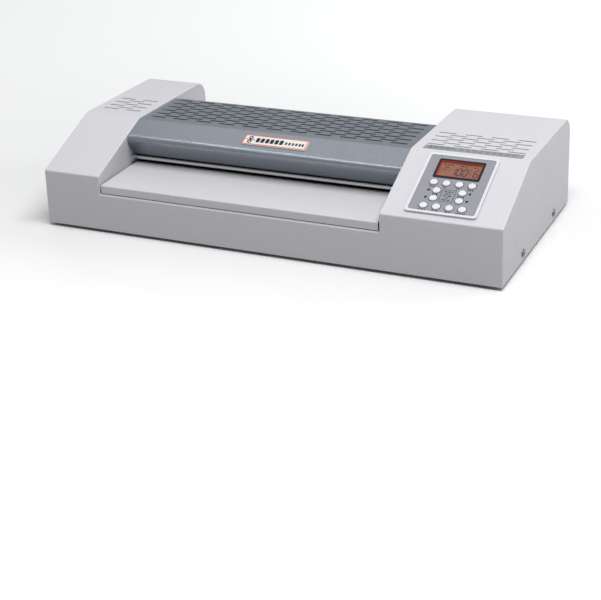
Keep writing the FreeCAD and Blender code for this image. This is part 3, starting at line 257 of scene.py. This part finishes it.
def lit_plastic(name, colour, glow):
    """A back-lit surface: its colour, and a soft uneven light of its own."""
    f = Finish(name, Roughness=0.45, Emission_Strength=glow, Specular_IOR_Level=0.15)
    tint = f.mottle(f.noise(0.012), colour, 0.86, 1.1)
    f.colour(tint)
    f.link(tint, f.shader.inputs["Emission Color"])
    f.rough(f.noise(0.001), 0.4, 0.5)
    return f.material


def clear(name, colour):
    """Clear quartz with the faint ripple of drawn tube."""
    f = Finish(name, Roughness=0.05, Transmission_Weight=0.9, IOR=1.46)
    f.colour(f.mottle(f.noise(0.01), colour, 0.97, 1.0))
    f.bump(f.noise(0.004, place=f.stretched(x=0.1)), depth=0.00001, strength=0.3)
    return f.material


# the finish of each material slot of the record
FINISHES = {
    "case_paint": powder_coat("case_powder_coat", (0.345, 0.341, 0.359), 0.46),
    "cover_paint": powder_coat(
        "cover_metallic_coat", (0.226, 0.250, 0.280), 0.30, flake=0.76, contrast=0.12, grain=0.0016
    ),
    "plated_sheet": zinc("zinc_plate", (0.52, 0.53, 0.54)),
    "polished_steel": metal(
        "polished_steel", (0.62, 0.62, 0.63), 0.16, marks=0.000004, tint=0.02
    ),
    "turned_steel": metal("turned_steel", (0.45, 0.45, 0.46), 0.30, turned=True),
    "aluminium_sheet": metal("mill_aluminium", (0.60, 0.61, 0.62), 0.34),
    "silicone": rubber("roller_silicone", (0.012, 0.012, 0.014), 0.5),
    "foot_rubber": rubber("foot_rubber", (0.018, 0.018, 0.018), 0.8),
    "white_plastic": plastic("bezel_plastic", (0.385, 0.385, 0.425), 0.36),
    "button_plastic": plastic(
        "button_plastic", (0.400, 0.405, 0.440), 0.30, grain=0.0004, depth=0.00001, coat=0.2
    ),
    "fascia_film": plastic(
        "fascia_film", (0.142, 0.146, 0.156), 0.5, grain=0.0005, depth=0.000012
    ),
    "display_plastic": plastic("display_can", (0.012, 0.010, 0.012), 0.35),
    "board": circuit_board("circuit_board"),
    "label_film": plastic(
        "label_film", (0.150, 0.159, 0.164), 0.42, grain=0.0008, depth=0.000008
    ),
    "badge_plastic": plastic(
        "badge_white", (0.405, 0.405, 0.390), 0.28, grain=0.0006, depth=0.000006, coat=0.4
    ),
    "dark_plastic": plastic("black_moulding", (0.014, 0.014, 0.015), 0.42),
    "gear_plastic": plastic("gear_nylon", (0.45, 0.42, 0.35), 0.5),
    "sintered": rubber("sintered_block", (0.09, 0.075, 0.06), 0.6),
    "lamp_glass": clear("quartz", (0.90, 0.90, 0.90)),
}

# nodes that look different from the rest of their slot: the cover screws' metal is darkened as
# painted shade for their countersunk dimples
OWN_FINISH = {"cover_screws": metal("screw_metal_painted_shade", (0.21, 0.20, 0.16), 0.34)}


# ------------------------------------------------------------------ finishes on the CAD parts

SLOT_OF = {part["node"]: part["material_slot"] for part in frame["record"]["subparts"]}

for node_name, thing in frame["nodes"].items():
    material = OWN_FINISH.get(node_name, FINISHES[SLOT_OF[node_name]])
    if not thing.data.materials:
        thing.data.materials.append(material)
    for slot in thing.material_slots:
        slot.material = material


# ------------------------------------------------------------------ mesh tools

SHARP_DEGREES = 32      # faces that meet at more than this keep a crisp edge
CLOSEST_CORNER = 0.3    # cosine that limits how far an inset corner may run inwards


def slope_matrix(y, z, slope):
    """From (across, up a slope, outwards) in millimetres, from the slope's foot, to metres."""
    foot = Matrix.Translation(Vector((0, y, z)) * MM)
    return foot @ Matrix.Rotation(slope, 4, "X") @ Matrix.Scale(MM, 4)


def level_matrix(height):
    """From millimetres on a level surface at a height in millimetres to metres."""
    return Matrix.Translation((0, 0, height * MM)) @ Matrix.Scale(MM, 4)


def outline(width, depth, radius, steps=6):
    """The corners of a rounded rectangle about the origin, anticlockwise."""
    points = []
    for corner, (sx, sy) in enumerate(((1, 1), (-1, 1), (-1, -1), (1, -1))):
        cx = sx * (width / 2 - radius)
        cy = sy * (depth / 2 - radius)
        for i in range(steps + 1):
            a = math.radians(90 * corner + 90 * i / steps)
            points.append((cx + radius * math.cos(a), cy + radius * math.sin(a)))
    return points


def moved(points, x, y):
    return [(px + x, py + y) for px, py in points]


def inset(points, amount):
    """An outline moved inwards by an amount, corner by corner."""
    out = []
    for i, point in enumerate(points):
        here = Vector(point)
        into = (here - Vector(points[i - 1])).normalized()
        onward = (Vector(points[(i + 1) % len(points)]) - here).normalized()
        inwards = Vector((-into.y, into.x))
        middle = (inwards + Vector((-onward.y, onward.x))).normalized()
        reach = amount / max(CLOSEST_CORNER, middle.dot(inwards))
        out.append(tuple(here + middle * reach))
    return out


class Sheet:
    """A mesh gathered from flat shapes given thickness, in one surface's own millimetres."""

    def __init__(self):
        self.mesh = bmesh.new()

    def layer(self, points, z):
        return [self.mesh.verts.new((x, y, z)) for x, y in points]

    def slab(self, points, low, high, soften=0.0):
        """A prism over an outline from low to high, with its top edge softened if asked."""
        layers = [self.layer(points, low)]
        if soften:
            layers.append(self.layer(points, high - soften))
            layers.append(self.layer(inset(points, soften), high))
        else:
            layers.append(self.layer(points, high))
        count = len(points)
        for lower, upper in zip(layers, layers[1:]):
            for i in range(count):
                j = (i + 1) % count
                self.mesh.faces.new((lower[i], lower[j], upper[j], upper[i]))
        self.mesh.faces.new(layers[-1])
        self.mesh.faces.new(layers[0][::-1])

    def ring(self, outer, inner, low, high):
        """A flat frame between two outlines with the same number of points."""
        outer_low, outer_high = self.layer(outer, low), self.layer(outer, high)
        inner_low, inner_high = self.layer(inner, low), self.layer(inner, high)
        count = len(outer)
        for i in range(count):
            j = (i + 1) % count
            self.mesh.faces.new((outer_low[i], outer_low[j], outer_high[j], outer_high[i]))
            self.mesh.faces.new((inner_high[i], inner_high[j], inner_low[j], inner_low[i]))
            self.mesh.faces.new((outer_high[i], outer_high[j], inner_high[j], inner_high[i]))
            self.mesh.faces.new((outer_low[j], outer_low[i], inner_low[i], inner_low[j]))

    def bar(self, x, y, width, depth, low, high):
        """A small block whose corners are rounded by a fifth of its shorter side."""
        corners = outline(width, depth, min(width, depth) * 0.2, steps=2)
        self.slab(moved(corners, x, y), low, high)

    def made(self, name, matrix, material):
        """The finished object, carried by the case."""
        bmesh.ops.recalc_face_normals(self.mesh, faces=self.mesh.faces)
        data = bpy.data.meshes.new(name)
        self.mesh.transform(matrix)
        self.mesh.to_mesh(data)
        self.mesh.free()
        thing = bpy.data.objects.new(name, data)
        bpy.context.scene.collection.objects.link(thing)
        data.materials.append(material)
        for polygon in data.polygons:
            polygon.use_smooth = True
        data.set_sharp_from_angle(angle=math.radians(SHARP_DEGREES))
        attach(thing, "case")
        return thing


def caption(sheet, x, y, width, height, words, low, high):
    """A line of blocks, one for each word's relative length, that stands for printed words."""
    gap = 0.5
    scale = width / (sum(words) + gap * (len(words) - 1))
    at = x - width / 2
    for word in words:
        length = word * scale
        sheet.bar(at + length / 2, y, length, height, low, high)
        at += (word + gap) * scale


PANEL = slope_matrix(FRONT_Y, FRONT_TOP, PANEL_SLOPE)
LID = slope_matrix(NOSE_Y, NOSE_Z, LID_SLOPE)

INK_BLACK = printed("ink_black", (0.008, 0.008, 0.010))
INK_GREY = printed("ink_dark_grey", (0.018, 0.020, 0.026))
# painted shade, not ink: the grey of the rings that stand in for the shadow in the gap round each
# key
PAINTED_GAP_SHADE = printed("painted_key_gap_shade", (0.070, 0.072, 0.080))
INK_RED = printed("ink_red", (0.150, 0.012, 0.014))
INK_ORANGE = printed("ink_orange", (0.400, 0.085, 0.030))
INK_LABEL = printed("ink_label_grey", (0.034, 0.040, 0.045))
INK_DISPLAY = printed("display_ink", (0.040, 0.021, 0.030))
BLACK_RIM = printed("display_black_rim", (0.006, 0.004, 0.006), 0.6)


# ------------------------------------------------------------------ printing on the fascia, and painted shade round the keys

SINK = 0.02             # how far printing reaches into what it is printed on
PRINT_PROUD = 0.05
PRINT_LOW = FASCIA_TOP - SINK
PRINT_HIGH = FASCIA_TOP + PRINT_PROUD

CAPTION_HEIGHT = 1.7
HOLE_RADIUS = 4.56      # just outside the hole that a key stands in
# width of the ring of painted shade round each key's hole
GAP_SHADE_WIDTH = 0.6

# the lines in the box between the keys
NOTE_X = 202.6
NOTE_TOP = 42.5
NOTE_PITCH = 3.1
NOTE_HEIGHT = 1.5
NOTE_BOX = (15.2, 18.8)
NOTE_BOX_V = 36.3
NOTE_BOX_LINE = 0.6
NOTE_LINES = (          # (width, words)
    (9.6, (1.2, 0.9, 0.8)),
    (5.6, (1.0, 0.7)),
    (8.4, (0.9, 1.3)),
    (2.4, (1.0,)),
    (8.8, (1.3, 1.0)),
)

DOT = 1.6
RED_DOTS = ((228.2, 57.4), (214.2, 57.4))
ARROW_COLUMNS = (180.3, 225.3)
ARROW_ROWS = ((43.0, 1), (31.1, -1))    # (up the slope, the way it points)

grey_print = Sheet()
red_print = Sheet()
CAPTIONS = {            # (ink, width, words, place above the key's centre)
    "button_1": (red_print, 6.0, (1.0, 0.7, 1.1), -6.4),
    "button_2": (grey_print, 3.4, (1.0, 0.6), -6.4),
    "button_3": (grey_print, 3.4, (0.7, 1.0), -6.4),
    "button_4": (grey_print, 6.4, (1.2, 0.8, 0.9), -6.4),
    "button_5": (grey_print, 5.8, (1.1, 0.9), -6.1),
    "button_6": (grey_print, 7.4, (1.0, 0.8, 1.2), -6.1),
    "button_9": (red_print, 8.6, (1.0, 1.3, 0.8), -6.2),
    "button_10": (grey_print, 6.6, (0.9, 1.2), -6.2),
    "button_11": (grey_print, 6.0, (1.2, 0.8), -6.2),
    "button_12": (red_print, 10.4, (1.1, 0.9, 1.4), -6.2),
}
for button, (ink, width, words, above) in CAPTIONS.items():
    x, v = BUTTONS[button]
    caption(ink, x, v + above, width, CAPTION_HEIGHT, words, PRINT_LOW, PRINT_HIGH)

# painted shade: a mid-grey ring round each key's hole stands in for the shadow in the gap round
# the key
key_gap_shade = Sheet()
hole = outline(2 * HOLE_RADIUS, 2 * HOLE_RADIUS, HOLE_RADIUS - 0.01, 8)
across = 2 * (HOLE_RADIUS + GAP_SHADE_WIDTH)
gap_shade_outer = outline(across, across, HOLE_RADIUS + GAP_SHADE_WIDTH - 0.01, 8)
for x, v in BUTTONS.values():
    key_gap_shade.ring(moved(gap_shade_outer, x, v), moved(hole, x, v), PRINT_LOW, PRINT_HIGH)
key_gap_shade.made("painted_button_gap_shade", PANEL, PAINTED_GAP_SHADE)

for line, (width, words) in enumerate(NOTE_LINES):
    v = NOTE_TOP - NOTE_PITCH * line
    caption(grey_print, NOTE_X, v, width, NOTE_HEIGHT, words, PRINT_LOW, PRINT_HIGH)
note_box = moved(outline(*NOTE_BOX, 0.6, 2), NOTE_X, NOTE_BOX_V)
grey_print.ring(note_box, inset(note_box, NOTE_BOX_LINE), PRINT_LOW, PRINT_HIGH)
grey_print.made("fascia_print_grey", PANEL, INK_GREY)

for x, v in RED_DOTS:
    red_print.slab(moved(outline(DOT, DOT, 0.75, 4), x, v), PRINT_LOW, PRINT_HIGH)
red_print.made("fascia_print_red", PANEL, INK_RED)

arrows = Sheet()
for x in ARROW_COLUMNS:
    for v, way in ARROW_ROWS:
        points = [(-2.0, -1.7 * way), (2.0, -1.7 * way), (0.0, 2.4 * way)][::way]
        arrows.slab(moved(points, x, v), PRINT_LOW, PRINT_HIGH)
arrows.made("fascia_arrows", PANEL, INK_BLACK)


# ------------------------------------------------------------------ display

WINDOW_X = 203.35       # the window's centre and size, on the panel's slope
WINDOW_V = 78.05
WINDOW_W = 49.1
WINDOW_H = 26.9
BORDER = 1.3            # black printing round the window, wider below it
BORDER_BELOW = 2.4

# heights above the case's slope
DISPLAY_FACE = -0.7     # the lit face
DIGIT_LOW = DISPLAY_FACE - 0.05
DIGIT_HIGH = DISPLAY_FACE + 0.04
RIM_LOW = 0.9
GUIDE_TOP = 1.7
CAN_BACK = -5.0
CAN_STEP = -1.2
CAN_LIP = 0.95


def window_outline(larger, radius):
    """The window's outline, made larger or smaller as a whole."""
    return moved(outline(WINDOW_W + larger, WINDOW_H + larger, radius), WINDOW_X, WINDOW_V)


rim = Sheet()
rim_outer = window_outline(0.2, 1.6)
rim_inner = window_outline(-3.0, 1.2)
rim.ring(rim_outer, rim_inner, RIM_LOW, PRINT_HIGH)
rim.made("display_rim", PANEL, BLACK_RIM)

border_low = WINDOW_V - WINDOW_H / 2 - BORDER_BELOW
border_high = WINDOW_V + WINDOW_H / 2 + BORDER
border_outline = moved(
    outline(WINDOW_W + 2 * BORDER, border_high - border_low, 2.4),
    WINDOW_X,
    (border_low + border_high) / 2,
)
window_border = Sheet()
window_border.ring(border_outline, rim_outer, PRINT_LOW, PRINT_HIGH)
window_border.made("window_border", PANEL, BLACK_RIM)

can = Sheet()
can_outline = moved(outline(WINDOW_W + 6, WINDOW_H + 4.4, 1.0, 3), WINDOW_X, WINDOW_V - 0.4)
can.slab(can_outline, CAN_BACK, CAN_STEP, soften=0.4)
can.ring(window_outline(0.0, 1.4), window_outline(-1.0, 1.2), CAN_STEP - 0.1, CAN_LIP)
display_can = can.made(
    "display_can", PANEL, FINISHES["display_plastic"]
)
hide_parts("lcd_module")

light_guide = Sheet()
light_guide.ring(rim_inner, window_outline(-3.8, 1.0), DISPLAY_FACE - 0.3, GUIDE_TOP)
GUIDE_RED = lit_plastic("light_guide_red", (0.205, 0.030, 0.017), 0.7)
light_guide.made("display_light_guide", PANEL, GUIDE_RED)

pane = Sheet()
pane.slab(window_outline(-1.3, 1.0), DISPLAY_FACE - 0.5, DISPLAY_FACE)
AMBER = lit_plastic("display_amber", (0.128, 0.054, 0.034), 0.5)
pane.made("display_pane", PANEL, AMBER)

SEGMENTS = {
    "0": "abcdef",
    "1": "bc",
    "6": "acdefg",
    "C": "adef",
}
LEAN = 0.05             # how far a figure leans to the right for its height
STROKE = 0.36           # a segment's thickness for the figure's width
TIP = 0.1               # where a segment's point begins and ends, for its thickness
SHOULDER = 0.55


def seven_segment(sheet, sign, x, y, width, height):
    """One seven-segment figure standing on (x, y)."""
    thick = width * STROKE
    tip = thick * TIP
    shoulder = thick * SHOULDER
    half = height / 2
    segments = {
        "a": ((0, height), (width, height)),
        "b": ((width, half), (width, height)),
        "c": ((width, 0), (width, half)),
        "d": ((0, 0), (width, 0)),
        "e": ((0, 0), (0, half)),
        "f": ((0, half), (0, height)),
        "g": ((0, half), (width, half)),
    }
    for letter in SEGMENTS[sign]:
        (x0, y0), (x1, y1) = segments[letter]
        if y0 == y1:
            low, high = y0 - thick / 2, y0 + thick / 2
            start, end = x0 + shoulder, x1 - shoulder
            shape = [(x0 + tip, y0), (start, low), (end, low),
                     (x1 - tip, y0), (end, high), (start, high)]
        else:
            left, right = x0 - thick / 2, x0 + thick / 2
            start, end = y0 + shoulder, y1 - shoulder
            shape = [(x0, y0 + tip), (right, start), (right, end),
                     (x0, y1 - tip), (left, end), (left, start)]
        leaning = [(x + px + LEAN * py, y + py) for px, py in shape]
        sheet.slab(leaning, DIGIT_LOW, DIGIT_HIGH)


LARGE = (71.4, 4.4, 10.8)   # (foot, width, height)
SMALL = (76.0, 2.4, 6.0)
READING = (("1", 194.0, LARGE), ("0", 200.4, LARGE), ("0", 207.0, LARGE), ("C", 214.0, SMALL),
           ("6", 219.2, LARGE))
MARK_HEIGHT = 1.5
SMALL_MARKS = (             # (across, up, width, words)
    (188.6, 86.6, 11.4, (1.5, 1.0, 1.3)),
    (188.0, 82.6, 4.6, (1.0,)),
    (186.0, 78.8, 4.0, (0.6, 0.6)),
    (205.4, 86.4, 7.0, (1.2, 0.8)),
    (219.6, 85.6, 5.6, (1.0, 0.7)),
)
digits = Sheet()
for sign, x, (foot, width, height) in READING:
    seven_segment(digits, sign, x, foot, width, height)
for x, v, width, words in SMALL_MARKS:
    caption(digits, x, v, width, MARK_HEIGHT, words, DIGIT_LOW, DIGIT_HIGH)
digits.made("display_digits", PANEL, INK_DISPLAY)


# ------------------------------------------------------------------ badge on the cover's slope

BADGE_Y = -47.6
BADGE_X = -17.8
BADGE_V = (BADGE_Y - NOSE_Y) / math.cos(LID_SLOPE)
BADGE_THICK = 1.2
BADGE_PRINT_LOW = 1.1
BORDER_TOP = 1.27
MARK_TOP = 1.26
BARS_TOP = 1.25
ROLLERS_X = BADGE_X - 31.0
THICK_BARS = (-21.4, -15.6, -9.8, -4.0, 1.8, 7.6)
THIN_BARS = (13.6, 17.8, 22.0, 26.2, 30.4, 34.0)

badge = Sheet()
badge.slab(moved(outline(79.0, 17.2, 2.4), BADGE_X, BADGE_V), 0.0, BADGE_THICK, soften=0.45)
badge_plate = badge.made(
    "badge_plate", LID, FINISHES["badge_plastic"]
)
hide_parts("name_badge")

border_outer = moved(outline(78.2, 16.4, 2.1), BADGE_X, BADGE_V)
border = Sheet()
border.ring(border_outer, inset(border_outer, 1.3), BADGE_PRINT_LOW, BORDER_TOP)
border.made("badge_border", LID, INK_ORANGE)

# two rollers with a sheet between them, and plain bars in place of words
mark = Sheet()
for above in (3.3, -3.3):
    roller = moved(outline(5.4, 5.4, 2.69, 6), ROLLERS_X, BADGE_V + above)
    mark.ring(roller, inset(roller, 1.5), BADGE_PRINT_LOW, MARK_TOP)
mark.bar(ROLLERS_X, BADGE_V, 11.6, 1.0, BADGE_PRINT_LOW, MARK_TOP)
thick_bar = outline(4.4, 7.6, 1.2, 3)
for along in THICK_BARS:
    mark.slab(moved(thick_bar, BADGE_X + along, BADGE_V), BADGE_PRINT_LOW, MARK_TOP)
mark.made("badge_pictogram", LID, INK_BLACK)

tail = Sheet()
thin_bar = outline(2.6, 4.6, 0.8, 3)
for along in THIN_BARS:
    tail.slab(moved(thin_bar, BADGE_X + along, BADGE_V - 0.6), BADGE_PRINT_LOW, BARS_TOP)
tail.made("badge_bars", LID, INK_GREY)


# ------------------------------------------------------------------ label strip on the right pod

LABEL_X = (151.4, 262.9)
LABEL_Y = (-31.6, -19.2)
LABEL_THICK = 0.22
LABEL_ROWS = (          # (y, height, (x, width) of each mark)
    (-22.0, 1.2, [(158, 3.4), (163.2, 4.6), (169.4, 3.6), (175.6, 5.4), (182.4, 4.2)]),
    (-24.8, 1.2, [(159, 5.4), (166, 4.2), (172.6, 5.2), (179.6, 4.4), (185, 3.2)]),
    (-27.6, 1.2, [(158.4, 4.4), (164.6, 5.2), (171.2, 4.0), (177.4, 4.8)]),
    (-23.2, 0.9, [(193 + 7.4 * i, 4.2 + 1.4 * (i % 3) / 2) for i in range(9)]),
    (-27.2, 0.9, [(194 + 7.2 * i, 3.6 + 1.6 * (i % 4) / 3) for i in range(9)]),
)

strip = Sheet()
strip_outline = moved(
    outline(LABEL_X[1] - LABEL_X[0], LABEL_Y[1] - LABEL_Y[0], 0.6, 3),
    sum(LABEL_X) / 2,
    sum(LABEL_Y) / 2,
)
strip.slab(strip_outline, 0.0, LABEL_THICK)
label_strip = strip.made(
    "label_strip", level_matrix(CASE_TOP), FINISHES["label_film"]
)
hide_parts("guide_label")

label_print = Sheet()
for y, height, marks in LABEL_ROWS:
    for x, width in marks:
        label_print.bar(x, y, width, height, -SINK, PRINT_PROUD)
label_top = level_matrix(CASE_TOP + LABEL_THICK)
label_print.made("guide_label_print", label_top, INK_LABEL)


# ------------------------------------------------------------------ floor and light

FLOOR_HALF = 9.0
FLOOR_PAINTED_SHADE = (0.510, 0.510, 0.512)      # painted shade: greyer under the object, standing in for its shadow on the floor
FLOOR_FAR = (0.93, 0.93, 0.93)
NEAR_REACH = 0.25
FAR_REACH = 1.25
SKY = (0.96, 0.98, 1.0, 1.0)
SKY_STRENGTH = 0.40

floor_mesh = bpy.data.meshes.new("floor")
floor_corners = [(sx * FLOOR_HALF, sy * FLOOR_HALF, 0)
                 for sx, sy in ((-1, -1), (1, -1), (1, 1), (-1, 1))]
floor_mesh.from_pydata(floor_corners, [], [(0, 1, 2, 3)])
floor = bpy.data.objects.new("floor", floor_mesh)
bpy.context.scene.collection.objects.link(floor)
floor_finish = Finish("pale_floor_painted_shade", Roughness=0.16, IOR=1.35)
reach = floor_finish.tree.nodes.new("ShaderNodeVectorMath")
reach.operation = "LENGTH"
floor_finish.link(floor_finish.stretched(x=0.7), reach.inputs[0])
away = floor_finish.spread(reach.outputs["Value"], 0.0, 1.0, NEAR_REACH, FAR_REACH)
# painted shade: the floor's colour runs from grey under the object to pale further out
floor_finish.colour(floor_finish.ramp(away, [(0.0, FLOOR_PAINTED_SHADE), (1.0, FLOOR_FAR)]))
floor_finish.rough(floor_finish.noise(0.6), 0.15, 0.18)
floor_mesh.materials.append(floor_finish.material)

world = bpy.data.worlds.new("studio")
bpy.context.scene.world = world
world.use_nodes = True
background = world.node_tree.nodes["Background"]
background.inputs["Color"].default_value = SKY
background.inputs["Strength"].default_value = SKY_STRENGTH


def softbox(name, at, towards, size, power):
    """A white rectangular area light at a point, facing another."""
    lamp = bpy.data.lights.new(name, "AREA")
    lamp.shape = "RECTANGLE"
    lamp.size, lamp.size_y = size
    lamp.energy = power
    thing = bpy.data.objects.new(name, lamp)
    bpy.context.scene.collection.objects.link(thing)
    thing.location = at
    facing = Vector(towards) - Vector(at)
    thing.rotation_euler = facing.to_track_quat("-Z", "Y").to_euler()


softbox("overhead", (0.70, -0.59, 2.2), (0.0, 0.0, 0.0), size=(2.0, 0.6), power=90.0)
softbox("right_side", (1.45, 1.0, 0.75), (0.25, 0.0, 0.05), size=(0.8, 0.7), power=12.0)
# gives the bright line along the fold of the cover's nose
softbox("fold_strip", (-0.9, -0.44, 2.2), (0.0, -0.06, 0.09), size=(1.9, 0.15), power=8.5)
softbox("rear_overhead", (-0.1, 1.5, 2.2), (0.0, 0.8, 0.0), size=(3.0, 2.0), power=11.5)


# ------------------------------------------------------------------ camera

# fitted to points measured in the photograph, whose centre is not the camera's own
AZIMUTH = math.radians(24.73)
ELEVATION = math.radians(20.01)
ROLL = math.radians(-1.89)
AIM = Vector((-0.0048, -0.0119, 0.0463))
DISTANCE = 1.6875
FOCAL_PX = 1462.4
FRAME_PX = 601.0
FRAME_CENTRE_PX = 300.0     # measured down from the frame's top
AIM_PX = 180.0
SENSOR_MM = 36.0

camera_data = bpy.data.cameras.new("camera")
camera = bpy.data.objects.new("camera", camera_data)
bpy.context.scene.collection.objects.link(camera)
bpy.context.scene.camera = camera
back = Vector((
    math.sin(AZIMUTH) * math.cos(ELEVATION),
    -math.cos(AZIMUTH) * math.cos(ELEVATION),
    math.sin(ELEVATION),
))
camera.location = AIM + back * DISTANCE
camera.rotation_mode = "QUATERNION"
upright = (-back).to_track_quat("-Z", "Y")
camera.rotation_quaternion = upright @ Matrix.Rotation(ROLL, 4, "Z").to_quaternion()
camera_data.sensor_width = SENSOR_MM
camera_data.lens = FOCAL_PX / FRAME_PX * SENSOR_MM
camera_data.shift_y = -(FRAME_CENTRE_PX - AIM_PX) / FRAME_PX
camera_data.clip_start = 0.05
camera_data.clip_end = 50.0
bpy.context.scene.view_settings.view_transform = "Standard"
